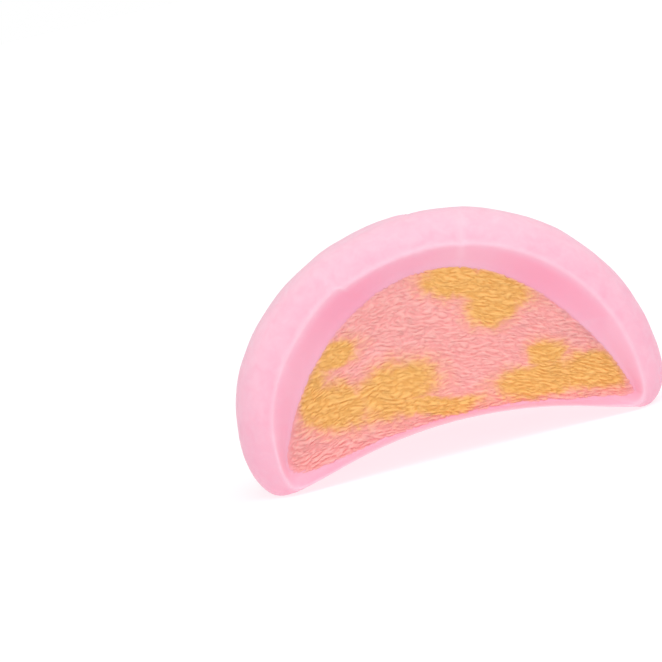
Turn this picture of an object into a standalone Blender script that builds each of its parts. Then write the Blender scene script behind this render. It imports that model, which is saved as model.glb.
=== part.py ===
"""A mochi rice cake cut open: a skin of soft rice dough round a filling of ice cream.

The script is in metres, with +Z up. The piece is a little more than half of a
round bun. Its cut face looks along -Y, and it rests on the narrow ring round
its dished underside. Both solids are lofted from rings that run round the Y
axis, from the back of the bun to its cut face.
"""

import math
from dataclasses import dataclass, replace

import bmesh
import bpy
from mathutils import Vector

MM = 0.001

# The whole bun, of which this is the larger part.
BUN_WIDTH = 49.6 * MM
BUN_HEIGHT = 28.2 * MM
GIRTH_HEIGHT = 5.6 * MM  # of the widest ring, above the foot
FOOT_RADIUS = 20.9 * MM  # of the ring that it stands on
KICK = 4.2 * MM  # how far the middle of the underside is dished in
BACK_LIFT = 2.2 * MM  # how far the foot is raised at the back, which arches the base
BACK_STARTS = 0.7  # share of the way round to the back at which the foot starts to rise
SIDE_LEAN = 0.9 * MM  # the widest ring dips this much to the right and climbs to the left
FOOT_SOFTNESS = 1.6 * MM  # how far up the dish's rim is rounded over
FOOT_FLAT = 0.15 * MM  # what its weight presses flat off the foot

# The skin of rice dough.
SKIN_THICKNESS = 3.2 * MM
FOOT_THICKNESS = 2.6 * MM  # from the foot's ring in to the hollow's
BASE_THICKNESS = 1.1 * MM  # at the foot
KICK_THICKNESS = 0.6 * MM  # in the middle of the underside
FIT_GAP = 0.3 * MM  # between the skin and the filling

# The cut, which goes past the middle of the bun. The soft skin rolls in over it.
CUT_PAST_MIDDLE = 5.0 * MM
CREST_INSET = 3.4 * MM  # from the skin's outline in to the crest of its rolled edge
CREST_DROP = 3.9 * MM  # the same at the crown
CREST_SAG = 1.2 * MM  # its widest place lies this much lower than the outline's
CREST_TUCK = 1.3 * MM  # in from the foot to its lower corners
CREST_BASE = 0.7 * MM  # its height there
CREST_SILL = 0.2 * MM  # its height over the dish
CREST_TURN = math.radians(72)  # how far the roll has turned when it meets the crest
FACE_RECESS = 1.2 * MM  # the ice cream's cut face lies behind the crest
FACE_HALF_WIDTH = 20.4 * MM
FACE_CROWN = 21.9 * MM
FACE_SAG = 2.2 * MM
FACE_TUCK = 2.4 * MM
FACE_BASE = 2.1 * MM
FACE_SILL = 0.6 * MM
FACE_SLOPE = 0.78  # its shoulders slope more than an ellipse's

# The ball is squeezed by hand: (waves round the bun, waves up it, share of its size, phase).
SQUEEZES = ((2, 1, 0.007, 0.6), (3, 2, 0.005, 2.1), (5, 3, 0.003, 4.0))

# The point that every ring is drawn round, and how finely.
HEART_HEIGHT = 12.0 * MM
POINTS_ROUND = 60
BACK_RINGS = 22
LIP_RINGS = 5
THROAT_RINGS = 3
INNER_RINGS = 14
FACE_RINGS = 4
STEPS_PER_POINT = 20  # of the outline's length, measured to space the points
HALVINGS = 40
TINY = 1e-9

DOUGH_COLOUR = (0.98, 0.56, 0.69, 1.0)
ICE_CREAM_COLOUR = (0.95, 0.40, 0.36, 1.0)


def smooth_step(low, high, value):
    """0 below low, 1 above high and an easy curve between."""
    share = min(1.0, max(0.0, (value - low) / (high - low)))
    return share * share * (3.0 - 2.0 * share)


def soft_maximum(first, second, softness):
    """The larger value, with the corner between the two rounded over."""
    near = max(0.0, 1.0 - abs(first - second) / softness)
    return max(first, second) + softness * near * near / 4.0


def squeeze(direction):
    """The factor by which the bun's size differs from round in this direction."""
    around = math.atan2(direction.y, direction.x)
    up = math.asin(max(-1.0, min(1.0, direction.z)))
    swell = sum(
        share * math.cos(turns * around + phase) * math.cos(rises * up)
        for turns, rises, share, phase in SQUEEZES
    )
    return 1.0 + swell * smooth_step(-0.45, 0.1, direction.z)


@dataclass(frozen=True)
class Bun:
    """A dome on a dished base. Every surface of the piece follows one of these."""

    radius: float
    crown: float
    girth: float
    foot: float
    base: float
    kick: float
    slope: float = 0.5  # makes the dome an ellipse; more lets its shoulders down

    def top(self, r):
        """Height of the dome above a point r from the axis."""
        return (self.crown - self.girth) * (1.0 - (r / self.radius) ** 2) ** self.slope

    def underside(self, r):
        """Height of the dish, which turns into the round edge outside the foot."""
        dish = (self.kick - self.base) * (1.0 - (r / self.foot) ** 2)
        out = max(0.0, r - self.foot) / (self.radius - self.foot)
        edge = (self.girth - self.base) * (1.0 - math.sqrt(1.0 - out * out))
        return self.base + soft_maximum(dish, edge, FOOT_SOFTNESS)

    def holds(self, r, z, lean, lift):
        """True for a point inside; lean lowers the widest ring, lift raises the foot."""
        if r >= self.radius:
            return False
        rise = self.girth - lean
        dome = (self.crown - rise) / (self.crown - self.girth)
        edge = (rise - self.base) / (self.girth - self.base)
        low = (self.underside(r) - self.base) * (edge if r > self.foot else 1.0)
        low += lift * min(1.0, (r / self.foot) ** 2) * (1.0 - low / (rise - self.base))
        return self.base + low < z < rise + self.top(r) * dome

    def reach(self, direction):
        """Distance from the heart of the bun to its surface, found by halving."""
        flat = math.hypot(direction.x, direction.y)
        lean = SIDE_LEAN * direction.x
        lift = BACK_LIFT * smooth_step(BACK_STARTS * flat, flat + TINY, direction.y)
        near, far = 0.0, BUN_WIDTH
        for _ in range(HALVINGS):
            middle = (near + far) / 2.0
            if self.holds(middle * flat, HEART_HEIGHT + middle * direction.z, lean, lift):
                near = middle
            else:
                far = middle
        return near * squeeze(direction)

    def point(self, direction):
        """The surface point in this direction from the heart."""
        return Vector((0.0, 0.0, HEART_HEIGHT)) + direction * self.reach(direction)

    def shrunk(self, gap):
        """The same form, this much smaller on every side."""
        return replace(
            self,
            radius=self.radius - gap,
            crown=self.crown - gap,
            foot=self.foot - gap,
            base=self.base + gap,
            kick=self.kick + gap,
        )


SKIN = Bun(
    radius=BUN_WIDTH / 2.0,
    crown=BUN_HEIGHT,
    girth=GIRTH_HEIGHT,
    foot=FOOT_RADIUS,
    base=0.0,
    kick=KICK,
)
CAVITY = Bun(
    radius=SKIN.radius - SKIN_THICKNESS,
    crown=SKIN.crown - SKIN_THICKNESS,
    girth=GIRTH_HEIGHT,
    foot=FOOT_RADIUS - FOOT_THICKNESS,
    base=BASE_THICKNESS,
    kick=KICK + KICK_THICKNESS,
)
CREST = Bun(
    radius=SKIN.radius - CREST_INSET,
    crown=SKIN.crown - CREST_DROP,
    girth=GIRTH_HEIGHT - CREST_SAG,
    foot=FOOT_RADIUS - CREST_TUCK,
    base=CREST_BASE,
    kick=KICK + CREST_SILL,
)
FACE = Bun(
    radius=FACE_HALF_WIDTH,
    crown=FACE_CROWN,
    girth=GIRTH_HEIGHT - FACE_SAG,
    foot=FOOT_RADIUS - FACE_TUCK,
    base=FACE_BASE,
    kick=KICK + FACE_SILL,
    slope=FACE_SLOPE,
)


def directions_round():
    """Angles round the Y axis that space the points evenly along the skin's outline."""
    steps = STEPS_PER_POINT * POINTS_ROUND
    angles = [2.0 * math.pi * i / steps for i in range(steps + 1)]
    outline = [SKIN.point(Vector((math.cos(a), 0.0, math.sin(a)))) for a in angles]
    lengths = [0.0]
    for before, after in zip(outline, outline[1:]):
        lengths.append(lengths[-1] + (after - before).length)
    chosen = []
    step = 0
    for i in range(POINTS_ROUND):
        target = lengths[-1] * i / POINTS_ROUND
        while lengths[step + 1] <= target:
            step += 1
        share = (target - lengths[step]) / (lengths[step + 1] - lengths[step])
        chosen.append(angles[step] + share * (angles[1] - angles[0]))
    return chosen


def back_ring(bun, tilt, angles):
    """One ring round the Y axis, tilt radians away from the back pole."""
    return [
        bun.point(
            Vector(
                (
                    math.cos(a) * math.sin(tilt),
                    math.cos(tilt),
                    math.sin(a) * math.sin(tilt),
                )
            )
        )
        for a in angles
    ]


def outline_ring(bun, angles, depth):
    """The bun's widest outline, moved forward to this depth from its middle."""
    ring = back_ring(bun, math.pi / 2.0, angles)
    return [Vector((p.x, -depth, p.z)) for p in ring]


def between(start, end, across, along):
    """A ring across of the way from start to end in X and Z, and along of it in Y."""
    return [
        Vector(
            (
                a.x + (b.x - a.x) * across,
                a.y + (b.y - a.y) * along,
                a.z + (b.z - a.z) * across,
            )
        )
        for a, b in zip(start, end)
    ]


def dome_rings(bun, angles, count):
    """Rings from just inside the back pole to the bun's middle."""
    return [back_ring(bun, math.pi / 2.0 * i / count, angles) for i in range(1, count + 1)]


def lip_rings(widest, crest, count):
    """The skin's roll from its widest outline in to the crest of the cut."""
    rings = []
    for i in range(1, count + 1):
        turn = CREST_TURN * i / count
        across = (1.0 - math.cos(turn)) / (1.0 - math.cos(CREST_TURN))
        rings.append(between(widest, crest, across, math.sin(turn) / math.sin(CREST_TURN)))
    return rings


def throat_rings(widest, face, count):
    """From the edge of the cut face back to the widest ring of the inside."""
    shares = [i / (count + 1) for i in range(1, count + 1)]
    return [between(face, widest, smooth_step(0.0, 1.0, s), s) for s in shares]


def split_quad(mesh, corners):
    """Two triangles, whose shared edge leans the same way about the bun on both sides."""
    if corners[0].co.x + corners[3].co.x < 0.0:
        corners = corners[1:] + corners[:1]
    mesh.faces.new(corners[:3])
    mesh.faces.new((corners[0], corners[2], corners[3]))


def loft(name, rings, first_pole, last_pole, material):
    """A closed solid through the rings, with a point at each end."""
    mesh = bmesh.new()
    poles = [mesh.verts.new(first_pole), mesh.verts.new(last_pole)]
    loops = [[mesh.verts.new(p) for p in ring] for ring in rings]
    for i in range(POINTS_ROUND):
        j = (i + 1) % POINTS_ROUND
        mesh.faces.new((poles[0], loops[0][i], loops[0][j]))
        mesh.faces.new((poles[1], loops[-1][j], loops[-1][i]))
        for near, far in zip(loops, loops[1:]):
            split_quad(mesh, (near[i], far[i], far[j], near[j]))
    bmesh.ops.recalc_face_normals(mesh, faces=mesh.faces)
    return finish_object(name, mesh, material)


def finish_object(name, mesh, material):
    """Turns the bmesh into a smooth-shaded object with its material."""
    data = bpy.data.meshes.new(name)
    mesh.to_mesh(data)
    mesh.free()
    data.shade_smooth()
    data.materials.append(material)
    made = bpy.data.objects.new(name, data)
    bpy.context.scene.collection.objects.link(made)
    return made


def food_material(name, colour, roughness):
    """A plain matt food finish."""
    made = bpy.data.materials.new(name)
    made.use_nodes = True
    shader = made.node_tree.nodes["Principled BSDF"]
    shader.inputs["Base Color"].default_value = colour
    shader.inputs["Roughness"].default_value = roughness
    shader.inputs["Metallic"].default_value = 0.0
    return made


def build_skin(angles):
    """The dough: the bun's outside, the rolled edge of the cut, and the hollow."""
    outside = dome_rings(SKIN, angles, BACK_RINGS)
    crest = outline_ring(CREST, angles, CUT_PAST_MIDDLE)
    face = outline_ring(FACE, angles, CUT_PAST_MIDDLE - FACE_RECESS)
    hollow = dome_rings(CAVITY, angles, INNER_RINGS)[::-1]
    rings = (
        outside
        + lip_rings(outside[-1], crest, LIP_RINGS)
        + [face]
        + throat_rings(hollow[0], face, THROAT_RINGS)
        + hollow
    )
    back = Vector((0.0, 1.0, 0.0))
    material = food_material("rice_dough", DOUGH_COLOUR, 0.6)
    skin = loft("rice_dough_skin", rings, SKIN.point(back), CAVITY.point(back), material)
    press_foot(skin)
    return skin


def build_filling(angles):
    """The ice cream, which fills the hollow up to its own flat cut face.

    Its rings run from the face to the back, as the hollow's do, so that the facets of the
    two surfaces lie side by side.
    """
    form = CAVITY.shrunk(FIT_GAP)
    body = dome_rings(form, angles, INNER_RINGS)[::-1]
    face = outline_ring(FACE.shrunk(FIT_GAP), angles, CUT_PAST_MIDDLE - FACE_RECESS)
    middle = Vector((0.0, face[0].y, HEART_HEIGHT))
    centre = [middle] * POINTS_ROUND
    flat = [between(centre, face, i / FACE_RINGS, 1.0) for i in range(1, FACE_RINGS)]
    rings = flat + [face] + throat_rings(body[0], face, THROAT_RINGS) + body
    material = food_material("ice_cream", ICE_CREAM_COLOUR, 0.75)
    back = form.point(Vector((0.0, 1.0, 0.0)))
    return loft("ice_cream_filling", rings, middle, back, material)


def press_foot(skin):
    """Slices the foot flat where the dough's own weight presses it out."""
    mesh = bmesh.new()
    mesh.from_mesh(skin.data)
    lowest = min(v.co.z for v in mesh.verts)
    everything = mesh.verts[:] + mesh.edges[:] + mesh.faces[:]
    cut = bmesh.ops.bisect_plane(
        mesh,
        geom=everything,
        dist=1e-7,
        plane_co=(0.0, 0.0, lowest + FOOT_FLAT),
        plane_no=(0.0, 0.0, -1.0),
        clear_outer=True,
    )
    rim = [e for e in cut["geom_cut"] if isinstance(e, bmesh.types.BMEdge)]
    bmesh.ops.triangle_fill(mesh, use_beauty=True, edges=rim, normal=(0.0, 0.0, -1.0))
    bmesh.ops.recalc_face_normals(mesh, faces=mesh.faces)
    mesh.to_mesh(skin.data)
    mesh.free()


def stand_on_origin(skin, parts):
    """Puts the middle of the skin's underside box at the origin."""
    corners = [v.co for v in skin.data.vertices]
    low = [min(c[axis] for c in corners) for axis in range(3)]
    high = [max(c[axis] for c in corners) for axis in range(3)]
    shift = Vector((-(low[0] + high[0]) / 2.0, -(low[1] + high[1]) / 2.0, -low[2]))
    for part in parts:
        for vertex in part.data.vertices:
            vertex.co += shift


def main():
    """Clears the scene and builds both solids."""
    for old in list(bpy.data.objects):
        bpy.data.objects.remove(old)
    angles = directions_round()
    skin = build_skin(angles)
    filling = build_filling(angles)
    stand_on_origin(skin, (skin, filling))


main()
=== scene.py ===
"""The looks of a mochi rice cake cut open.

A soft skin of pink rice dough, dusted with starch, rolls in over the cut face of
a salmon pink ice cream with a yellow ripple. Shapes are worked out in
millimetres about the middle of the bun and then laid into the CAD's box.
"""

import logging
import math
from dataclasses import dataclass, field, replace
from enum import Enum

import bpy
import numpy as np
from mathutils import Matrix, Vector


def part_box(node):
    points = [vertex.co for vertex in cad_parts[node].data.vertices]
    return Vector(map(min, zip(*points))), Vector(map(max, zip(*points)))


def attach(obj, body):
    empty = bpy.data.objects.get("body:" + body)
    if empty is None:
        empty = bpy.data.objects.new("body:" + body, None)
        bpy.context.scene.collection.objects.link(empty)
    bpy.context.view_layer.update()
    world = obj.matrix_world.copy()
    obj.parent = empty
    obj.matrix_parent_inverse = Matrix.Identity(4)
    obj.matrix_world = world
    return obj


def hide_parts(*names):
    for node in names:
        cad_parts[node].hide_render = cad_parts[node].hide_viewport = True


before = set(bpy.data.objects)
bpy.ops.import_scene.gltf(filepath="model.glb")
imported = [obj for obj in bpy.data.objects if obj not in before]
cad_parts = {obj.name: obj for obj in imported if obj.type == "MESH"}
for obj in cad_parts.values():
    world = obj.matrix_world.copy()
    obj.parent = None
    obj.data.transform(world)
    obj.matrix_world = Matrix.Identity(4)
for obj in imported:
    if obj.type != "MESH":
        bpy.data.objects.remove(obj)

log = logging.getLogger("mochi")

DOUGH_NODE = "rice_dough_skin"
FILLING_NODE = "ice_cream_filling"
BODY = "root"
TINY = 1e-9
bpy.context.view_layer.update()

Colour = tuple[float, float, float]


# ---------------------------------------------------------------- small helpers


def smooth_step(low: float, high: float, value: np.ndarray) -> np.ndarray:
    """0 below low, 1 above high and an easy curve between."""
    share = np.clip((value - low) / (high - low), 0.0, 1.0)
    return share * share * (3.0 - 2.0 * share)


def bell(distance: np.ndarray, width: float) -> np.ndarray:
    """1 where the distance is nought, falling off over the width."""
    return np.exp(-((distance / width) ** 2))


def soft_maximum(first: np.ndarray, second: np.ndarray, softness: float) -> np.ndarray:
    """The larger value, with the corner between the two rounded over."""
    near = np.maximum(0.0, 1.0 - np.abs(first - second) / softness)
    return np.maximum(first, second) + softness * near * near / 4.0


def linear(red: int, green: int, blue: int) -> Colour:
    """A colour from its screen values, 0 to 255, turned to linear light."""
    shares = (red / 255.0, green / 255.0, blue / 255.0)
    return tuple(c / 12.92 if c <= 0.04045 else ((c + 0.055) / 1.055) ** 2.4 for c in shares)


class Tint(Enum):
    """The few colours of the sweet and its table, painted light and shade among them."""

    # Pale pink of starch; it also serves as painted top light and as the crest's painted highlight.
    STARCH_AND_PAINTED_LIGHT = linear(253, 206, 221)
    DOUGH = linear(250, 184, 205)
    BLUSH = linear(248, 168, 194)
    # A stronger pink; it also serves as painted shade on the inner wall's shoulders and at the ice cream's rim.
    DEEP_PINK_AND_SHADE = linear(251, 165, 191)
    SALMON = linear(254, 184, 178)
    ROSE_CREVICE_SHADE = linear(249, 153, 154)
    APRICOT = linear(253, 188, 134)
    MANGO = linear(254, 196, 117)
    AMBER_CREVICE_SHADE = linear(228, 158, 74)
    TABLE = linear(168, 168, 169)


class Relief(Enum):
    """The kinds of unevenness that a node tree can press into a surface."""

    SCRAPED = "scraped"
    KNEADED = "kneaded"


# ---------------------------------------------------------------- node trees as expressions


class Value:
    """A socket of a node tree. Operators on it add the Math nodes that they stand for."""

    def __init__(self, tree: "NodeScript", socket: bpy.types.NodeSocket) -> None:
        """Wraps one output socket of the tree."""
        self.tree = tree
        self.socket = socket

    def __add__(self, other: "Value | float") -> "Value":
        """self + other."""
        return self.tree.math("ADD", self, other)

    __radd__ = __add__

    def __sub__(self, other: "Value | float") -> "Value":
        """self - other."""
        return self.tree.math("SUBTRACT", self, other)

    def __rsub__(self, other: float) -> "Value":
        """other - self."""
        return self.tree.math("SUBTRACT", other, self)

    def __mul__(self, other: "Value | float") -> "Value":
        """self * other."""
        return self.tree.math("MULTIPLY", self, other)

    __rmul__ = __mul__

    def __truediv__(self, other: "Value | float") -> "Value":
        """self / other."""
        return self.tree.math("DIVIDE", self, other)

    def __abs__(self) -> "Value":
        """The size of self, whatever its sign."""
        return self.tree.math("ABSOLUTE", self)

    def power(self, exponent: float) -> "Value":
        """self raised to a power."""
        return self.tree.math("POWER", self, exponent)

    def at_least(self, other: "Value | float") -> "Value":
        """The larger of self and other."""
        return self.tree.math("MAXIMUM", self, other)

    def at_most(self, other: "Value | float") -> "Value":
        """The smaller of self and other."""
        return self.tree.math("MINIMUM", self, other)

    def ramp(self, low: float, high: float, start: float = 0.0, end: float = 1.0) -> "Value":
        """Start below low, end above high and an easy curve between.

        Args:
            low: the value at which the curve starts.
            high: the value at which it ends.
            start: what it gives at and below low.
            end: what it gives at and above high.

        Returns:
            The curve's value.
        """
        node = self.tree.node(
            "ShaderNodeMapRange",
            {"interpolation_type": "SMOOTHSTEP"},
            {0: self, 1: low, 2: high, 3: start, 4: end},
        )
        return Value(self.tree, node.outputs[0])


class NodeScript:
    """Writes the nodes of one tree, of a material or of a Geometry Nodes group."""

    def __init__(self, tree: bpy.types.NodeTree) -> None:
        """Takes a tree and empties it."""
        self.tree = tree
        tree.nodes.clear()

    def node(self, kind: str, settings: dict | None = None, inputs: dict | None = None) -> bpy.types.Node:
        """Adds any node.

        Args:
            kind: the node's type.
            settings: its own options.
            inputs: the values or links of its sockets, by name or number.

        Returns:
            The new node.
        """
        made = self.tree.nodes.new(kind)
        for key, value in (settings or {}).items():
            setattr(made, key, value)
        for key, value in (inputs or {}).items():
            if isinstance(value, Value):
                self.tree.links.new(value.socket, made.inputs[key])
            elif isinstance(value, bpy.types.NodeSocket):
                self.tree.links.new(value, made.inputs[key])
            else:
                made.inputs[key].default_value = value
        return made

    def out(self, node: bpy.types.Node, name: str | int = 0) -> Value:
        """One output of a node, as a value."""
        return Value(self, node.outputs[name])

    def mark(self, name: str) -> Value:
        """A number that a mesh carries on its points, for a material."""
        return self.out(self.node("ShaderNodeAttribute", {"attribute_name": name}), "Fac")

    def math(self, operation: str, *terms: "Value | float") -> Value:
        """One Math node on the given terms."""
        node = self.node("ShaderNodeMath", {"operation": operation}, dict(enumerate(terms)))
        return self.out(node)

    def vector(self, x: "Value | float", y: "Value | float", z: "Value | float") -> Value:
        """Three numbers as one vector."""
        return self.out(self.node("ShaderNodeCombineXYZ", None, {0: x, 1: y, 2: z}))

    def axes(self, vector: Value) -> tuple[Value, Value, Value]:
        """A vector's three numbers."""
        node = self.node("ShaderNodeSeparateXYZ", None, {0: vector})
        return self.out(node, 0), self.out(node, 1), self.out(node, 2)

    def vector_math(self, operation: str, first: Value, second: "Value | tuple | None" = None,
                    scale: "Value | float | None" = None) -> Value:
        """One Vector Math node that gives a vector."""
        inputs: dict = {0: first}
        if second is not None:
            inputs[1] = second
        if scale is not None:
            inputs["Scale"] = scale
        return self.out(self.node("ShaderNodeVectorMath", {"operation": operation}, inputs))

    def noise(self, place: Value, scale: float, detail: float = 2.0, roughness: float = 0.5) -> bpy.types.Node:
        """A soft noise over a place, scale waves to each of the place's units."""
        return self.node(
            "ShaderNodeTexNoise",
            {"noise_dimensions": "3D"},
            {"Vector": place, "Scale": scale, "Detail": detail, "Roughness": roughness},
        )

    def noise_value(self, place: Value, scale: float, detail: float = 2.0, roughness: float = 0.5) -> Value:
        """The noise as one number about a half."""
        return self.out(self.noise(place, scale, detail, roughness), 0)

    def jostled(self, place: Value, scale: float, by: float, detail: float = 1.0) -> Value:
        """A place moved about by a noise, up to half of by each way."""
        colour = self.out(self.noise(place, scale, detail), 1)
        centred = self.vector_math("SUBTRACT", colour, (0.5, 0.5, 0.5))
        shift = self.vector_math("SCALE", centred, scale=by * 2.0)
        return self.vector_math("ADD", place, shift)

    def mix(self, share: "Value | float", first: "Value | Colour", second: "Value | Colour") -> Value:
        """The first colour where the share is 0, the second where it is 1."""
        paint = [c if isinstance(c, Value) else (*c, 1.0) for c in (first, second)]
        node = self.node("ShaderNodeMix", {"data_type": "RGBA"}, {0: share, 6: paint[0], 7: paint[1]})
        return self.out(node, 2)


# ---------------------------------------------------------------- the bun's form, in millimetres


@dataclass(frozen=True)
class Bun:
    """A dome on a dished base, drawn round a heart point. Every surface follows one of these.

    The dome is an ellipse where its slope is a half; more lets its shoulders down.
    """

    radius: float
    crown: float
    girth: float
    foot: float
    base: float
    kick: float
    slope: float = 0.5
    softness: float = 1.6
    lean: float = 0.9
    heart: float = 12.0
    back_lift: float = 2.2
    back_starts: float = 0.7
    halvings: int = 30
    squeezes: tuple = ((2, 1, 0.007, 0.6), (3, 2, 0.005, 2.1), (5, 3, 0.003, 4.0))

    def squeeze(self, directions: np.ndarray) -> np.ndarray:
        """The factor by which the bun's size differs from round in each direction."""
        around = np.arctan2(directions[..., 1], directions[..., 0])
        up = np.arcsin(np.clip(directions[..., 2], -1.0, 1.0))
        swell = sum(
            share * np.cos(turns * around + phase) * np.cos(rises * up)
            for turns, rises, share, phase in self.squeezes
        )
        return 1.0 + swell * smooth_step(-0.45, 0.1, directions[..., 2])

    def underside(self, r: np.ndarray) -> np.ndarray:
        """Height of the dish, which turns into the round edge outside the foot."""
        dish = (self.kick - self.base) * (1.0 - (r / self.foot) ** 2)
        out = np.clip((r - self.foot) / (self.radius - self.foot), 0.0, 1.0)
        edge = (self.girth - self.base) * (1.0 - np.sqrt(1.0 - out * out))
        return self.base + soft_maximum(dish, edge, self.softness)

    def holds(self, r: np.ndarray, z: np.ndarray, lean: np.ndarray, lift: np.ndarray) -> np.ndarray:
        """True for each point inside; lean lowers the widest ring, lift raises the foot."""
        rise = self.girth - lean
        share = np.clip(1.0 - (r / self.radius) ** 2, 0.0, 1.0)
        roof = rise + (self.crown - rise) * share**self.slope
        edge = np.where(r > self.foot, (rise - self.base) / (self.girth - self.base), 1.0)
        floor = (self.underside(r) - self.base) * edge
        floor += lift * np.minimum(1.0, (r / self.foot) ** 2) * (1.0 - floor / (rise - self.base))
        return (r < self.radius) & (self.base + floor < z) & (z < roof)

    def surface(self, directions: np.ndarray) -> np.ndarray:
        """The surface points in the given directions from the heart.

        Args:
            directions: unit vectors, in the last axis of an array of any shape.

        Returns:
            Points about the bun's middle, in an array of the same shape.
        """
        flat = np.hypot(directions[..., 0], directions[..., 1])
        lean = self.lean * directions[..., 0]
        lift = self.back_lift * smooth_step(self.back_starts * flat, flat + TINY, directions[..., 1])
        near = np.zeros(flat.shape)
        far = np.full(flat.shape, 2.0 * self.radius)
        for _ in range(self.halvings):
            middle = (near + far) / 2.0
            inside = self.holds(middle * flat, self.heart + middle * directions[..., 2], lean, lift)
            near = np.where(inside, middle, near)
            far = np.where(inside, far, middle)
        points = directions * (near * self.squeeze(directions))[..., None]
        points[..., 2] += self.heart
        return points

    def grown(self, by: float) -> "Bun":
        """The same form, this much larger on every side."""
        return replace(
            self,
            radius=self.radius + by,
            crown=self.crown + by,
            foot=self.foot + by,
            base=self.base - by,
            kick=self.kick - by,
        )

    def back_ring(self, tilt: float, angles: np.ndarray) -> np.ndarray:
        """One ring round the Y axis, tilt radians away from the back pole."""
        along = np.full(angles.shape, math.cos(tilt))
        out = np.stack([np.cos(angles) * math.sin(tilt), along, np.sin(angles) * math.sin(tilt)], axis=-1)
        return self.surface(out)

    def outline(self, angles: np.ndarray, depth: float) -> np.ndarray:
        """The widest outline, moved forward to this depth from the bun's middle."""
        ring = self.back_ring(math.pi / 2.0, angles)
        ring[:, 1] = -depth
        return ring


@dataclass(frozen=True)
class MochiForm:
    """The driving sizes of the cut rice cake, in millimetres, and the forms that follow from them."""

    nominal_width: float = 49.69
    width: float = 49.6
    height: float = 28.2
    girth: float = 5.6
    foot: float = 20.9
    kick: float = 4.2
    foot_flat: float = 0.15
    skin: float = 3.2
    foot_skin: float = 2.6
    base_skin: float = 1.1
    kick_skin: float = 0.6
    cut_past_middle: float = 5.0
    crest_turn: float = math.radians(72.0)
    crest_inset: float = 3.4
    crest_drop: float = 3.9
    crest_sag: float = 1.2
    crest_tuck: float = 1.3
    crest_base: float = 0.7
    crest_sill: float = 0.2
    face_recess: float = 1.2
    face_half_width: float = 20.4
    face_crown: float = 21.9
    face_sag: float = 2.2
    face_tuck: float = 2.4
    face_base: float = 2.1
    face_sill: float = 0.6
    face_slope: float = 0.78

    @property
    def outside(self) -> Bun:
        """The dough's outer surface."""
        return Bun(self.width / 2.0, self.height, self.girth, self.foot, 0.0, self.kick)

    @property
    def hollow(self) -> Bun:
        """The dough's inner surface, behind the cut face."""
        return Bun(
            self.width / 2.0 - self.skin,
            self.height - self.skin,
            self.girth,
            self.foot - self.foot_skin,
            self.base_skin,
            self.kick + self.kick_skin,
        )

    @property
    def crest(self) -> Bun:
        """The outline of the thin ridge where the rolled skin ends."""
        return Bun(
            self.width / 2.0 - self.crest_inset,
            self.height - self.crest_drop,
            self.girth - self.crest_sag,
            self.foot - self.crest_tuck,
            self.crest_base,
            self.kick + self.crest_sill,
        )

    @property
    def face(self) -> Bun:
        """The outline of the ice cream's cut face."""
        return Bun(
            self.face_half_width,
            self.face_crown,
            self.girth - self.face_sag,
            self.foot - self.face_tuck,
            self.face_base,
            self.kick + self.face_sill,
            self.face_slope,
        )

    @property
    def face_depth(self) -> float:
        """How far the cut face lies in front of the bun's middle."""
        return self.cut_past_middle - self.face_recess

    def unit(self) -> float:
        """Metres to each modelled millimetre, from the CAD's own width."""
        low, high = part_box(DOUGH_NODE)
        return (high[0] - low[0]) / self.nominal_width

    def spaced_angles(self, count: int) -> np.ndarray:
        """Angles round the Y axis that space points evenly along the outside's outline."""
        fine = np.linspace(0.0, 2.0 * math.pi, 20 * count + 1)
        outline = self.outside.outline(fine, 0.0)
        steps = np.linalg.norm(np.diff(outline, axis=0), axis=1)
        lengths = np.concatenate([[0.0], np.cumsum(steps)])
        return np.interp(np.arange(count) * lengths[-1] / count, lengths, fine)


# ---------------------------------------------------------------- meshes


@dataclass
class Shell:
    """A mesh in the making: points in millimetres, faces, and named numbers on the points."""

    points: np.ndarray
    faces: list[tuple[int, ...]]
    marks: dict[str, np.ndarray] = field(default_factory=dict)

    def to_object(self, name: str, material: bpy.types.Material) -> bpy.types.Object:
        """A smooth-shaded object of the shell, its points taken as metres."""
        mesh = bpy.data.meshes.new(name)
        mesh.from_pydata(self.points.tolist(), [], self.faces)
        for mark, numbers in self.marks.items():
            layer = mesh.attributes.new(mark, "FLOAT", "POINT")
            layer.data.foreach_set("value", numbers.astype(np.float32))
        mesh.materials.append(material)
        mesh.shade_smooth()
        mesh.validate()
        made = bpy.data.objects.new(name, mesh)
        bpy.context.scene.collection.objects.link(made)
        return made


def ring_faces(count: int, first: int, second: int) -> list[tuple[int, ...]]:
    """The quads between two rings of count points that start at these numbers."""
    turn = [(i, (i + 1) % count) for i in range(count)]
    return [(first + i, first + j, second + j, second + i) for i, j in turn]


def pole_faces(count: int, ring: int, pole: int) -> list[tuple[int, ...]]:
    """The fan between a ring and a pole that lies after it."""
    return [(ring + i, ring + (i + 1) % count, pole) for i in range(count)]


def baked(source: bpy.types.Object, relief: bpy.types.NodeTree, values: dict[str, float]) -> bpy.types.Object:
    """A plain mesh of an object with a Geometry Nodes relief pressed into it.

    Args:
        source: the object, which is removed.
        relief: the node group.
        values: the group's inputs by name.

    Returns:
        The new object, which takes the source's name.
    """
    modifier = source.modifiers.new("relief", "NODES")
    modifier.node_group = relief
    for item in relief.interface.items_tree:
        if item.item_type == "SOCKET" and item.in_out == "INPUT" and item.name in values:
            modifier[item.identifier] = values[item.name]
    name = source.name
    graph = bpy.context.evaluated_depsgraph_get()
    mesh = bpy.data.meshes.new_from_object(
        source.evaluated_get(graph), preserve_all_data_layers=True, depsgraph=graph
    )
    source.modifiers.remove(modifier)
    bpy.data.objects.remove(source)
    made = bpy.data.objects.new(name, mesh)
    mesh.name = name
    mesh.shade_smooth()
    bpy.context.scene.collection.objects.link(made)
    return made


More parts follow.
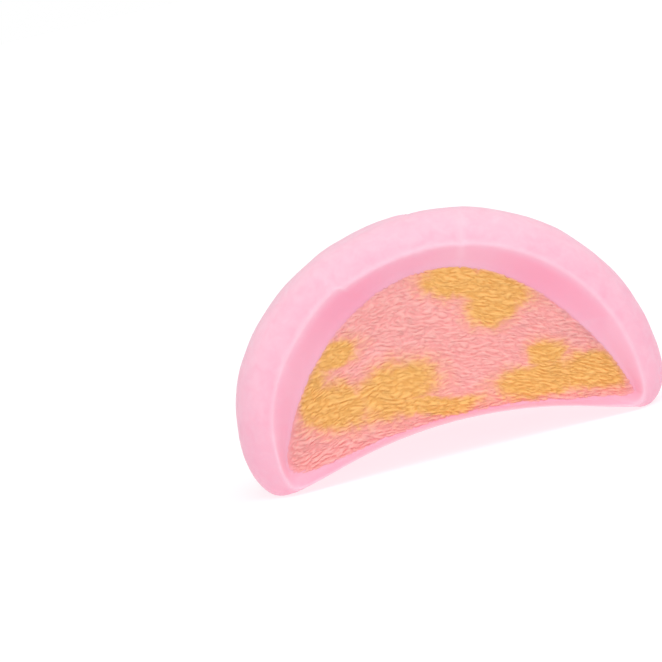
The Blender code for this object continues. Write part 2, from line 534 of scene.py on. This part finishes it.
class ReliefTree:
    """A Geometry Nodes group that moves a mesh's points by a rule and gives it its finish."""

    def __init__(self, kind: Relief, material: bpy.types.Material, sizes: list[str]) -> None:
        """Makes the group with its named sizes.

        Args:
            kind: which unevenness the group makes.
            material: the finish that it sets.
            sizes: the names of its inputs, all lengths in metres.
        """
        group = bpy.data.node_groups.new(f"{kind.value}_relief", "GeometryNodeTree")
        group.interface.new_socket("Geometry", in_out="INPUT", socket_type="NodeSocketGeometry")
        group.interface.new_socket("Geometry", in_out="OUTPUT", socket_type="NodeSocketGeometry")
        for name in sizes:
            group.interface.new_socket(name, in_out="INPUT", socket_type="NodeSocketFloat")
        self.group = group
        self.material = material
        self.script = NodeScript(group)
        self.inlet = self.script.node("NodeGroupInput")

    def size(self, name: str) -> Value:
        """One of the group's sizes."""
        return self.script.out(self.inlet, name)

    def mark(self, name: str) -> Value:
        """A named number on the points."""
        node = self.script.node("GeometryNodeInputNamedAttribute", {"data_type": "FLOAT"}, {"Name": name})
        return self.script.out(node, "Attribute")

    def finish(self, offset: Value, kept: dict[str, Value]) -> bpy.types.NodeTree:
        """Ends the group: stores numbers for the finish, moves the points and sets the material.

        Args:
            offset: how far each point moves.
            kept: numbers to leave on the points, by name.

        Returns:
            The finished group.
        """
        flow = self.inlet.outputs["Geometry"]
        for name, value in kept.items():
            store = self.script.node(
                "GeometryNodeStoreNamedAttribute",
                {"data_type": "FLOAT", "domain": "POINT"},
                {"Geometry": flow, "Name": name, "Value": value},
            )
            flow = store.outputs[0]
        moved = self.script.node("GeometryNodeSetPosition", None, {"Geometry": flow, "Offset": offset})
        real = self.script.node("GeometryNodeRealizeInstances", None, {0: moved.outputs[0]})
        painted = self.script.node(
            "GeometryNodeSetMaterial", None, {"Geometry": real.outputs[0], "Material": self.material}
        )
        self.script.node("NodeGroupOutput", None, {0: painted.outputs[0]})
        return self.group


def scaled(place: Value, size: Value) -> Value:
    """A place counted in a size."""
    return place.tree.vector_math("SCALE", place, scale=size.power(-1.0))


# ---------------------------------------------------------------- finishes


@dataclass(frozen=True)
class RiceDoughFinish:
    """Soft rice dough: pale pink, matt, faintly mottled, with starch and painted top light on what faces up,
    painted shade on the inner wall's shoulders and a painted highlight on the crest.
    """

    name: str = "rice_dough"
    roughness: float = 0.62
    sheen: float = 0.08
    glow: float = 0.18
    glow_depth: float = 0.002

    def material(self, unit: float) -> bpy.types.Material:
        """The dough's material.

        Args:
            unit: metres to each millimetre of the patterns' sizes.

        Returns:
            The new material.
        """
        made = bpy.data.materials.new(self.name)
        made.use_nodes = True
        script = NodeScript(made.node_tree)
        coordinates = script.node("ShaderNodeTexCoord")
        place = script.vector_math("SCALE", script.out(coordinates, "Object"), scale=1.0 / unit)
        _, depth, _ = script.axes(place)
        up = script.axes(script.out(coordinates, "Normal"))[2]
        inside = script.mark("inside")
        crest = script.mark("crest")
        deep_pink_and_shade = script.mark("deep_pink_and_shade")
        crease = script.mark("crease")

        streaked = script.jostled(place, 0.12, 3.0)
        clouds = script.noise_value(streaked, 0.16, 2.0, 0.45).ramp(0.38, 0.68)
        curds = script.noise_value(script.jostled(place, 0.5, 1.0), 0.75, 3.0, 0.55)
        behind = depth.ramp(-11.0, -2.0, 0.5, 1.0)
        blotches = (clouds * behind * 0.75 + (curds - 0.5) * 0.55).at_least(0.0).at_most(1.0)
        # Paler where the surface faces up, partly starch and partly painted top light, with a random share from the
        # curds noise.
        dust_and_top_light = (up.ramp(-0.1, 0.95) * 0.7 + (0.5 - curds) * 0.8).at_least(0.0).at_most(1.0)

        colour = script.mix(blotches, Tint.DOUGH.value, Tint.BLUSH.value)
        # No starch or painted top light inside the cut.
        colour = script.mix(dust_and_top_light * (1.0 - inside), colour, Tint.STARCH_AND_PAINTED_LIGHT.value)
        # Inside the cut a stronger pink: the thin dough's own colour, with painted shade on the wall's upper
        # shoulders.
        colour = script.mix(inside * deep_pink_and_shade, colour, Tint.DEEP_PINK_AND_SHADE.value)
        # Painted highlight along the crest's thin ridge, partly starch there, and over the crease at the crown.
        colour = script.mix(crest.at_least(crease) * 0.5, colour, Tint.STARCH_AND_PAINTED_LIGHT.value)

        powder = script.noise_value(place, 6.0, 2.0, 0.6)
        bump = script.node(
            "ShaderNodeBump", None, {"Strength": 0.12, "Distance": 0.06 * unit, "Height": powder + curds * 2.0}
        )
        shader = script.node("ShaderNodeBsdfPrincipled", None, {
            "Base Color": colour,
            "Roughness": (self.roughness + (curds - 0.5) * 0.25).at_most(0.9),
            "Normal": script.out(bump),
            "Metallic": 0.0,
            "Specular IOR Level": 0.3,
            "Sheen Weight": self.sheen,
            "Sheen Roughness": 0.5,
            "Subsurface Weight": self.glow,
            "Subsurface Radius": (1.0, 0.45, 0.5),
            "Subsurface Scale": self.glow_depth,
        })
        script.node("ShaderNodeOutputMaterial", None, {"Surface": script.out(shader)})
        return made


@dataclass(frozen=True)
class Ripple:
    """One blot of the yellow ripple on the cut face: its middle, half sizes and slope."""

    x: float
    z: float
    half_width: float
    half_height: float
    slope: float = 0.0

    def cover(self, script: NodeScript, x: Value, z: Value) -> Value:
        """1 in the blot's middle, 0 on its edge and less outside."""
        turn = math.radians(self.slope)
        dx = x - self.x
        dz = z - self.z
        along = (dx * math.cos(turn) + dz * math.sin(turn)) / self.half_width
        across = (dz * math.cos(turn) - dx * math.sin(turn)) / self.half_height
        return 1.0 - (along * along + across * across)


RIPPLES = (
    Ripple(2.8, 20.2, 3.6, 2.0, -10.0),
    Ripple(7.4, 18.0, 3.9, 2.4, -20.0),
    Ripple(6.4, 15.9, 2.8, 2.0),
    Ripple(-12.3, 15.0, 2.8, 1.3, 12.0),
    Ripple(-15.9, 11.7, 1.8, 3.6, -15.0),
    Ripple(-13.4, 9.1, 3.7, 2.5, -8.0),
    Ripple(-6.6, 9.4, 4.7, 2.7, 10.0),
    Ripple(-2.2, 6.5, 4.8, 1.1, -8.0),
    Ripple(11.3, 9.2, 2.0, 1.7),
    Ripple(10.0, 6.5, 4.8, 1.7, -4.0),
    Ripple(16.4, 6.0, 4.2, 2.0, -12.0),
)


@dataclass(frozen=True)
class IceCreamFinish:
    """Ice cream scraped by a knife: salmon pink, with a ripple of mango yellow, painted shade in its crevices and a
    stronger pink at its rim that is partly painted shade.
    """

    name: str = "ice_cream"
    roughness: float = 0.6
    glow: float = 0.08
    glow_depth: float = 0.001
    ripples: tuple[Ripple, ...] = RIPPLES

    def material(self, unit: float, heart: Vector) -> bpy.types.Material:
        """The ice cream's material.

        Args:
            unit: metres to each millimetre of the patterns' sizes.
            heart: where the bun's middle lies, in metres.

        Returns:
            The new material.
        """
        made = bpy.data.materials.new(self.name)
        made.use_nodes = True
        script = NodeScript(made.node_tree)
        coordinates = script.node("ShaderNodeTexCoord")
        centred = script.vector_math("SUBTRACT", script.out(coordinates, "Object"), tuple(heart))
        place = script.vector_math("SCALE", centred, scale=1.0 / unit)
        stirred = script.jostled(script.jostled(place, 0.3, 0.9), 1.1, 0.6, 2.0)
        x, _, z = script.axes(stirred)
        crevice = script.mark("crevice")
        edge = script.mark("edge")

        cover = self.ripples[0].cover(script, x, z)
        for ripple in self.ripples[1:]:
            cover = cover.at_least(ripple.cover(script, x, z))
        soft = script.noise_value(place, 0.9, 2.0)
        halo = (cover + (soft - 0.5) * 0.8).ramp(-2.2, 0.2)
        ripple = (cover + (soft - 0.5) * 0.9).ramp(-0.75, 0.55)

        colour = script.mix(halo * 0.65, Tint.SALMON.value, Tint.APRICOT.value)
        colour = script.mix(ripple, colour, Tint.MANGO.value)
        # A stronger pink at the rim, partly the dough's pink and partly painted shade where the ice cream meets the
        # dough.
        colour = script.mix(edge * 0.7, colour, Tint.DEEP_PINK_AND_SHADE.value)
        # Painted shade in the crevices between the ridges: rose on the pink, amber on the ripple.
        shade = script.mix(ripple, Tint.ROSE_CREVICE_SHADE.value, Tint.AMBER_CREVICE_SHADE.value)
        colour = script.mix(crevice.ramp(0.15, 0.9) * (1.0 - edge * 0.5) * 0.6, colour, shade)

        grain = script.noise_value(place, 3.0, 2.0, 0.6)
        bump = script.node("ShaderNodeBump", None, {"Strength": 0.15, "Distance": 0.08 * unit, "Height": grain})
        shader = script.node("ShaderNodeBsdfPrincipled", None, {
            "Base Color": colour,
            "Roughness": self.roughness + (soft - 0.5) * 0.3,
            "Normal": script.out(bump),
            "Metallic": 0.0,
            "Specular IOR Level": 0.35,
            "Subsurface Weight": self.glow,
            "Subsurface Radius": (0.5, 0.4, 0.3),
            "Subsurface Scale": self.glow_depth,
        })
        script.node("ShaderNodeOutputMaterial", None, {"Surface": script.out(shader)})
        return made


# ---------------------------------------------------------------- the sweet


class Sweet:
    """What both parts share: the form, and where it lies in the CAD's frame."""

    def __init__(self, form: MochiForm) -> None:
        """Takes the form and reads its place from the CAD's box."""
        self.form = form
        self.unit = form.unit()
        low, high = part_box(DOUGH_NODE)
        outline = form.outside.outline(form.spaced_angles(720), 0.0)
        middle = (outline[:, 0].min() + outline[:, 0].max()) / 2.0
        self.origin = Vector((
            (low[0] + high[0]) / 2.0 - middle * self.unit,
            low[1] + form.cut_past_middle * self.unit,
            low[2] - (self.lowest() + form.foot_flat) * self.unit,
        ))

    def lowest(self) -> float:
        """Height of the foot before it is pressed flat, in millimetres."""
        foot = self.form.outside
        return float(foot.underside(np.linspace(0.0, foot.radius, 2000)).min())

    def placed(self, points: np.ndarray) -> np.ndarray:
        """Points about the bun's middle in millimetres, as points of the frame in metres."""
        return points * self.unit + np.array(self.origin)


@dataclass
class DoughSkin:
    """The skin of rice dough, from its dusted back to the wall inside the cut."""

    sweet: Sweet
    finish: RiceDoughFinish
    points_round: int = 360
    back_rings: int = 112
    lip_rings: int = 34
    wall_rings: int = 16
    hollow_rings: int = 16
    shelf: float = 0.05
    overlap: float = 0.5
    reach: float = 0.6
    bead_height: float = 0.13
    bead_width: float = 0.34
    notch_angle: float = 2.35
    notch_depth: float = 0.45
    crease_top: float = 5.6
    crease_foot: float = 4.1
    crease_depth: float = 0.16
    crease_width: float = 0.55
    lump_height: float = 0.22
    lump_size: float = 7.0
    curd_height: float = 0.03
    curd_size: float = 1.6

    def lip(self, angles: np.ndarray, outline: np.ndarray) -> list[np.ndarray]:
        """The roll of the skin from its widest outline in to the crest."""
        form = self.sweet.form
        crest = self.crest_ring(angles)
        rings = []
        for i in range(1, self.lip_rings + 1):
            turn = form.crest_turn * i / self.lip_rings
            across = (1.0 - math.cos(turn)) / (1.0 - math.cos(form.crest_turn))
            rings.append(self.between(outline, crest, across, math.sin(turn) / math.sin(form.crest_turn)))
        return rings

    def crest_ring(self, angles: np.ndarray) -> np.ndarray:
        """The crest's outline, with the small fold where the skin overlaps itself."""
        form = self.sweet.form
        ring = form.crest.outline(angles, form.cut_past_middle)
        past = angles - self.notch_angle
        step = smooth_step(-0.02, 0.02, past) * (1.0 - smooth_step(0.04, 0.5, past))
        inward = ring * np.array([1.0, 0.0, 1.0]) - np.array([0.0, 0.0, form.crest.heart])
        length = np.linalg.norm(inward, axis=1, keepdims=True)
        return ring + inward / length * (step * self.notch_depth)[:, None]

    def wall(self, angles: np.ndarray) -> list[np.ndarray]:
        """The wall from the crest back to the ice cream, then under the edge of its face."""
        form = self.sweet.form
        crest = self.crest_ring(angles)
        face = form.face.outline(angles, form.face_depth + self.shelf)
        shares = [i / self.wall_rings for i in range(1, self.wall_rings + 1)]
        rings = [self.between(crest, face, share, share * share * (3.0 - 2.0 * share)) for share in shares]
        for share in (0.5, 1.0):
            under = form.face.grown(-self.overlap * share)
            rings.append(under.outline(angles, form.face_depth - self.reach * share * share))
        return rings

    @staticmethod
    def between(start: np.ndarray, end: np.ndarray, across: float, along: float) -> np.ndarray:
        """A ring across of the way from start to end in X and Z, and along of it in Y."""
        return start + (end - start) * np.array([across, along, across])

    def shell(self) -> Shell:
        """The whole skin as one closed shell, in metres."""
        form = self.sweet.form
        angles = form.spaced_angles(self.points_round)
        tilts = [math.pi / 2.0 * i / self.back_rings for i in range(1, self.back_rings + 1)]
        back = [form.outside.back_ring(tilt, angles) for tilt in tilts]
        lip = self.lip(angles, back[-1])
        wall = self.wall(angles)
        tilts = [math.pi / 2.0 * i / self.hollow_rings for i in range(self.hollow_rings, 0, -1)]
        hollow = [form.hollow.back_ring(tilt, angles) for tilt in tilts]
        throat = [self.between(wall[-1], hollow[0], s * s * (3.0 - 2.0 * s), s) for s in (0.25, 0.5, 0.75)]
        rings = np.stack(back + lip + wall + throat + hollow)

        crest_at = len(back) + len(lip) - 1
        self.raise_bead(rings, crest_at)
        crease = self.press_crease(rings, crest_at)
        low = self.sweet.lowest() + form.foot_flat
        rings[..., 2] = np.maximum(rings[..., 2], low)

        count = self.points_round
        points = rings.reshape(-1, 3)
        poles = np.array([form.outside.surface(np.array([0.0, 1.0, 0.0])),
                          form.hollow.surface(np.array([0.0, 1.0, 0.0]))])
        faces = [f[::-1] for f in pole_faces(count, 0, len(points))]
        for i in range(len(rings) - 1):
            faces += ring_faces(count, i * count, (i + 1) * count)
        faces += pole_faces(count, (len(rings) - 1) * count, len(points) + 1)
        marks = self.marks(rings, angles, crest_at)
        # The crease mark carries the painted highlight over the crease.
        marks["crease"] = np.concatenate([crease.reshape(-1), np.zeros(2)])
        return Shell(self.sweet.placed(np.concatenate([points, poles])), faces, marks)

    def raise_bead(self, rings: np.ndarray, crest_at: int) -> None:
        """Raises the thin ridge along the crest, in place."""
        crest = rings[crest_at].copy()
        for i in range(crest_at - self.lip_rings + 1, crest_at + self.wall_rings):
            away = np.linalg.norm((rings[i] - crest)[:, [0, 2]], axis=1)
            rings[i][:, 1] -= self.bead_height * bell(away, self.bead_width)

    def press_crease(self, rings: np.ndarray, crest_at: int) -> np.ndarray:
        """Presses the crease that runs over the rim at the crown, in place.

        Args:
            rings: the skin's points, ring by ring.
            crest_at: the number of the crest's ring.

        Returns:
            How much of a crease there is at each point, 0 to 1, which the finish lightens as a painted highlight.
        """
        form = self.sweet.form
        first, last = crest_at - self.lip_rings - 12, crest_at + self.wall_rings
        span = rings[first:last]
        height = (span[..., 2] - form.face.crown) / (form.height - form.face.crown)
        line = self.crease_foot + (self.crease_top - self.crease_foot) * height
        groove = bell(span[..., 0] - line, self.crease_width) * smooth_step(-0.3, 0.4, height)
        fade = smooth_step(2.0, -1.5, span[..., 1])
        depth = self.crease_depth * groove * fade
        span[..., 2] -= depth
        span[..., 1] += depth * 0.6
        crease = np.zeros(rings.shape[:2])
        crease[first:last] = groove * fade
        return crease

    def marks(self, rings: np.ndarray, angles: np.ndarray, crest_at: int) -> dict[str, np.ndarray]:
        """Numbers for the finish: inside the cut, on the crest where a painted highlight runs, and how strong the
        inner wall's pink is, painted shade on its upper shoulders included.
        """
        count = self.points_round
        number = np.repeat(np.arange(len(rings)), count)
        inside = smooth_step(crest_at + 1.0, crest_at + 5.0, number)
        away = np.linalg.norm((rings - rings[crest_at])[..., [0, 2]], axis=-1).reshape(-1)
        near = (number > crest_at - self.lip_rings) & (number < crest_at + self.wall_rings)
        # Where the painted highlight, partly starch, runs along the crest.
        crest = bell(away, 0.32) * near
        # Painted shade on the upper shoulders of the inner wall; a stronger pink on the thin dough at the base.
        shoulders = bell(angles - 2.42, 0.50) + bell(angles - 0.42, 0.42)
        base = bell(angles - 4.8, 0.75)
        deep_pink_and_shade = np.clip(0.05 + 0.9 * shoulders + 0.5 * base, 0.0, 1.0)
        tail = np.zeros(2)
        free = smooth_step(crest_at + 2.0, crest_at - 3.0, number)
        return {
            "inside": np.concatenate([inside, tail]),
            "crest": np.concatenate([crest, tail]),
            "deep_pink_and_shade": np.concatenate([np.tile(deep_pink_and_shade, len(rings)), tail]),
            "free": np.concatenate([free, tail]),
        }

    def relief(self, material: bpy.types.Material) -> bpy.types.NodeTree:
        """The soft lumps that hands leave in the dough."""
        tree = ReliefTree(Relief.KNEADED, material, ["Lump Height", "Lump Size", "Curd Height", "Curd Size"])
        script = tree.script
        place = script.out(script.node("GeometryNodeInputPosition"))
        normal = script.out(script.node("GeometryNodeInputNormal"))
        lumps = script.noise_value(scaled(place, tree.size("Lump Size")), 1.0, 1.0)
        curds = script.noise_value(scaled(place, tree.size("Curd Size")), 1.0, 2.0)
        rise = (lumps - 0.6) * tree.size("Lump Height") + (curds - 0.6) * tree.size("Curd Height")
        above = script.axes(place)[2].ramp(0.0006, 0.005)
        offset = script.vector_math("SCALE", normal, scale=rise * tree.mark("free") * above * 2.0)
        return tree.finish(offset, {})

    def build(self) -> bpy.types.Object:
        """Builds and dresses the skin."""
        unit = self.sweet.unit
        material = self.finish.material(unit)
        rough = self.shell().to_object("dough_skin", material)
        made = baked(rough, self.relief(material), {
            "Lump Height": self.lump_height * unit,
            "Lump Size": self.lump_size * unit,
            "Curd Height": self.curd_height * unit,
            "Curd Size": self.curd_size * unit,
        })
        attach(made, BODY)
        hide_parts(DOUGH_NODE)
        return made


@dataclass
class IceCream:
    """The ice cream: a scraped cut face on a body that reaches into the dough."""

    sweet: Sweet
    finish: IceCreamFinish
    columns: int = 340
    rows: int = 216
    body_rings: int = 9
    tuck: float = 0.3
    tip_angles: tuple[float, float] = (0.47, 0.33)
    ridge_length: float = 1.5
    ridge_height: float = 0.48
    ridge_depth: float = 0.36
    wander: float = 0.7
    bend_size: float = 3.6
    swell_size: float = 3.0

    def arc(self, start: float, end: float) -> np.ndarray:
        """The edge of the cut face, as fine points from one angle about the heart to another."""
        form = self.sweet.form
        return form.face.grown(self.tuck).outline(np.linspace(start, end, 8 * self.columns), form.face_depth)

    @staticmethod
    def picked(arc: np.ndarray, measure: np.ndarray, wanted: np.ndarray) -> np.ndarray:
        """Points on an arc where a measure that grows along it has the wanted values."""
        return np.stack([np.interp(wanted, measure, arc[:, axis]) for axis in range(3)], axis=-1)

    def lattice(self) -> tuple[np.ndarray, np.ndarray]:
        """The cut face as a grid of points, and how near each one is to the edge, 0 to 1.

        Its columns stand upright between the base and the dome, which keeps the cells
        square to the ridges. Its two ends are the short arcs at the tips.
        """
        form = self.sweet.form
        low, high = self.tip_angles
        dome = self.arc(math.pi + high, -high)
        base = self.arc(low - math.pi, -low)
        length = np.concatenate([[0.0], np.cumsum(np.linalg.norm(np.diff(dome, axis=0), axis=1))])
        span = dome[-1, 0] - dome[0, 0]
        across = (dome[:, 0] - dome[0, 0]) / span
        steps = np.linspace(0.0, 1.0, self.columns + 1)
        top = self.picked(dome, (length / length[-1] + across) / 2.0, steps)
        shares = (top[:, 0] - dome[0, 0]) / span
        bottom = self.picked(base, (base[:, 0] - base[0, 0]) / (base[-1, 0] - base[0, 0]), shares)
        rises = np.linspace(0.0, 1.0, self.rows + 1)
        left_arc = self.arc(low - math.pi, high - math.pi)
        left = self.picked(left_arc, np.linspace(0.0, 1.0, len(left_arc)), rises)
        right_arc = self.arc(-low, -high)
        right = self.picked(right_arc, np.linspace(0.0, 1.0, len(right_arc)), rises)

        s, t = shares[None, :, None], rises[:, None, None]
        points = (1.0 - t) * bottom[None] + t * top[None] + (1.0 - s) * left[:, None] + s * right[:, None]
        points -= (1.0 - t) * ((1.0 - s) * bottom[0] + s * bottom[-1])
        points -= t * ((1.0 - s) * top[0] + s * top[-1])

        away = points - np.array([0.0, 0.0, form.face.heart])
        away[..., 1] = 0.0
        reach = np.linalg.norm(away, axis=-1)
        edge = form.face.grown(self.tuck).surface(away / np.maximum(reach, TINY)[..., None])
        edge[..., 2] -= form.face.heart
        return points, reach / np.linalg.norm(edge, axis=-1)

    def border(self) -> np.ndarray:
        """The numbers of the grid's points that lie on its edge, in order round it."""
        wide = self.columns + 1
        grid = np.arange(wide * (self.rows + 1)).reshape(self.rows + 1, wide)
        return np.concatenate([grid[0, :-1], grid[:-1, -1], grid[-1, :0:-1], grid[:0:-1, 0]])

    def shell(self) -> Shell:
        """The whole ice cream as one closed shell, in metres."""
        form = self.sweet.form
        face, nearness = self.lattice()
        wide = self.columns + 1
        numbers = np.arange(face.shape[0] * wide).reshape(-1, wide)
        corners = np.stack([numbers[:-1, :-1], numbers[:-1, 1:], numbers[1:, 1:], numbers[1:, :-1]], axis=-1)
        right = corners[:, self.columns // 2:]
        right[...] = np.roll(right, -1, axis=-1)
        faces = [tuple(quad) for quad in corners.reshape(-1, 4).tolist()]
        border = self.border()
        flat = face.reshape(-1, 3)
        rim = flat[border] - np.array([0.0, 0.0, form.face.heart])
        angles = np.arctan2(rim[:, 2], rim[:, 0])
        body = form.hollow.grown(0.1)
        tilts = [math.pi / 2.0 * i / self.body_rings for i in range(self.body_rings, 0, -1)]
        rings = [body.back_ring(tilt, angles) for tilt in tilts]
        rings.insert(0, flat[border] * np.array([1.0, 0.0, 1.0]) + np.array([0.0, 1.0 - form.face_depth, 0.0]))
        count = len(border)
        first = len(flat)
        faces += [
            (int(border[j]), int(border[i]), first + i, first + j)
            for i, j in ((i, (i + 1) % count) for i in range(count))
        ]
        for i in range(len(rings) - 1):
            faces += [f[::-1] for f in ring_faces(count, first + (i + 1) * count, first + i * count)]
        pole = body.surface(np.array([0.0, 1.0, 0.0]))
        last = first + (len(rings) - 1) * count
        faces += [f[::-1] for f in pole_faces(count, last, last + count)]
        points = np.concatenate([flat, *rings, pole[None, :]])
        scrape = np.zeros(len(points))
        scrape[:len(flat)] = 1.0 - 0.6 * smooth_step(0.94, 1.0, nearness.reshape(-1))
        edge = np.zeros(len(points))
        edge[:len(flat)] = smooth_step(0.93, 1.0, nearness.reshape(-1))
        along = points[:, 0] * self.sweet.unit
        across = (points[:, 2] + self.drag(points[:, 0])) * self.sweet.unit
        marks = {"scrape": scrape, "edge": edge, "along": along, "across": across}
        return Shell(self.sweet.placed(points), faces, marks)

    @staticmethod
    def drag(x: np.ndarray) -> np.ndarray:
        """How far the scraped lines fall at x: down to the right, but level out at the left."""
        return 0.07 * x + 0.168 * np.hypot(x + 8.0, 4.0)

    def relief(self, material: bpy.types.Material) -> bpy.types.NodeTree:
        """The soft ridges and crevices that the knife drags out of the cold ice cream."""
        tree = ReliefTree(
            Relief.SCRAPED, material, ["Depth", "Ridge Length", "Ridge Height", "Wander", "Bend Size", "Swell Size"]
        )
        script = tree.script
        place = script.out(script.node("GeometryNodeInputPosition"))
        bend = script.out(script.noise(scaled(place, tree.size("Bend Size")), 1.0, 1.0), 1)
        bend = script.vector_math("SUBTRACT", bend, (0.5, 0.5, 0.5))
        along, _, across = script.axes(script.vector_math("SCALE", bend, scale=tree.size("Wander") * 2.0))
        long = (tree.mark("along") + along) / tree.size("Ridge Length")
        tall = (tree.mark("across") + across) / tree.size("Ridge Height")
        ridges = abs(script.noise_value(script.vector(long, 0.0, tall), 1.0, 1.5) - 0.5) * 4.2
        flakes = abs(script.noise_value(script.vector(long * 1.9, 3.0, tall * 1.6), 1.0, 1.0) - 0.5) * 3.4
        swell = script.noise_value(scaled(place, tree.size("Swell Size")), 1.0, 1.0)
        ridges, flakes = ridges.at_most(1.0), flakes.at_most(1.0)
        height = ridges * (2.0 - ridges) * 0.6 + flakes * (2.0 - flakes) * 0.4
        rise = (height - 0.5 + (swell - 0.5) * 0.8) * tree.size("Depth") * tree.mark("scrape")
        # The stored mark is high where the relief is low, for the painted shade in the crevices.
        return tree.finish(script.vector(0.0, rise * -1.0, 0.0), {"crevice": 1.0 - height})

    def build(self) -> bpy.types.Object:
        """Builds and dresses the ice cream."""
        unit = self.sweet.unit
        material = self.finish.material(unit, self.sweet.origin)
        rough = self.shell().to_object("ice_cream", material)
        made = baked(rough, self.relief(material), {
            "Depth": self.ridge_depth * unit,
            "Ridge Length": self.ridge_length * unit,
            "Ridge Height": self.ridge_height * unit,
            "Wander": self.wander * unit,
            "Bend Size": self.bend_size * unit,
            "Swell Size": self.swell_size * unit,
        })
        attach(made, BODY)
        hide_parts(FILLING_NODE)
        return made


# ---------------------------------------------------------------- the studio


@dataclass
class Studio:
    """A plain pale table in soft white light."""

    table_radius: float = 3.0
    daylight: float = 0.63
    key_share: float = 0.38
    fill_share: float = 0.09
    lamp_breadth: float = math.radians(50.0)
    table_glow: float = 0.66

    def table(self) -> bpy.types.Object:
        """The round table top under the sweet."""
        steps = 96
        ring = [2.0 * math.pi * i / steps for i in range(steps)]
        points = np.array([(math.cos(a) * self.table_radius, math.sin(a) * self.table_radius, 0.0) for a in ring])
        material = bpy.data.materials.new("table_top")
        material.use_nodes = True
        script = NodeScript(material.node_tree)
        place = script.out(script.node("ShaderNodeTexCoord"), "Object")
        grain = script.noise_value(place, 40.0)
        shader = script.node("ShaderNodeBsdfPrincipled", None, {
            "Base Color": (*Tint.TABLE.value, 1.0),
            "Roughness": 0.8 + grain * 0.1,
            "Specular IOR Level": 0.1,
            "Emission Color": (1.0, 1.0, 1.0, 1.0),
            "Emission Strength": self.table_glow,
        })
        script.node("ShaderNodeOutputMaterial", None, {"Surface": script.out(shader)})
        made = Shell(points, [tuple(range(steps))]).to_object("table_top", material)
        return made

    def lamp(self, name: str, share: float, azimuth: float, elevation: float) -> None:
        """A broad white lamp, far off, that looks at the sweet.

        Args:
            name: the lamp's name.
            share: how bright it makes a white surface that faces it, from 0 to 1.
            azimuth: degrees round the sweet, 0 being in front of the cut face.
            elevation: degrees above the table.
        """
        light = bpy.data.lights.new(name, "SUN")
        light.angle = self.lamp_breadth
        light.energy = share * math.pi
        made = bpy.data.objects.new(name, light)
        a, e = math.radians(azimuth), math.radians(elevation)
        away = Vector((math.sin(a) * math.cos(e), -math.cos(a) * math.cos(e), math.sin(e)))
        made.location = away
        made.rotation_euler = away.to_track_quat("Z", "Y").to_euler()
        bpy.context.scene.collection.objects.link(made)

    def sky(self) -> None:
        """Even white light from all round, seen as pure white behind the sweet."""
        world = bpy.data.worlds.new("studio")
        bpy.context.scene.world = world
        world.use_nodes = True
        script = NodeScript(world.node_tree)
        seen = script.out(script.node("ShaderNodeLightPath"), "Is Camera Ray")
        strength = seen * (1.0 - self.daylight) + self.daylight
        shader = script.node("ShaderNodeBackground", None, {"Color": (1.0, 1.0, 1.0, 1.0), "Strength": strength})
        script.node("ShaderNodeOutputWorld", None, {"Surface": script.out(shader)})

    def build(self) -> None:
        """Sets up the table, the lamps and the way colours are shown."""
        self.table()
        self.sky()
        self.lamp("key_light", self.key_share, 20.0, 62.0)
        self.lamp("fill_light", self.fill_share, -50.0, 25.0)
        bpy.context.scene.view_settings.view_transform = "Standard"
        bpy.context.scene.view_settings.look = "None"


@dataclass
class StudioCamera:
    """A long lens in front of the cut face, held a little askew."""

    azimuth: float = -4.84
    elevation: float = 6.6
    roll: float = 13.39
    lens: float = 200.0
    sensor: float = 36.0
    field_width: float = 75.38
    aim_right: float = -12.05
    aim_up: float = 17.14

    def build(self, sweet: Sweet) -> bpy.types.Object:
        """Makes the scene's camera.

        Args:
            sweet: whose size sets how far off the camera stands and where it aims.

        Returns:
            The camera.
        """
        a, e = math.radians(self.azimuth), math.radians(self.elevation)
        back = Vector((math.sin(a) * math.cos(e), -math.cos(a) * math.cos(e), math.sin(e)))
        level = back.to_track_quat("Z", "Y").to_matrix()
        right, up = level.col[0], level.col[1]
        low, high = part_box(DOUGH_NODE)
        foot = Vector(((low[0] + high[0]) / 2.0, low[1], low[2]))
        aim = foot + (right * self.aim_right + up * self.aim_up) * sweet.unit
        distance = self.field_width * sweet.unit * self.lens / self.sensor
        data = bpy.data.cameras.new("studio_camera")
        data.lens = self.lens
        data.sensor_width = self.sensor
        data.clip_start = 0.01
        data.clip_end = 20.0
        made = bpy.data.objects.new("studio_camera", data)
        made.matrix_world = (
            Matrix.Translation(aim + back * distance)
            @ level.to_4x4()
            @ Matrix.Rotation(math.radians(-self.roll), 4, "Z")
        )
        bpy.context.scene.collection.objects.link(made)
        bpy.context.scene.camera = made
        return made


# ---------------------------------------------------------------- putting it together


def report(piece: bpy.types.Object) -> None:
    """Logs one piece's size and faces."""
    size = ", ".join(f"{1000.0 * d:.1f}" for d in piece.dimensions)
    log.info("%s: %s mm, %d faces", piece.name, size, len(piece.data.polygons))


def main() -> None:
    """Builds the sweet, the studio and the camera in order."""
    logging.basicConfig(level=logging.INFO, format="%(name)s: %(message)s")
    sweet = Sweet(MochiForm())
    report(DoughSkin(sweet, RiceDoughFinish()).build())
    report(IceCream(sweet, IceCreamFinish()).build())
    Studio().build()
    StudioCamera().build(sweet)
    bpy.context.view_layer.update()


if __name__ == "__main__":
    main()
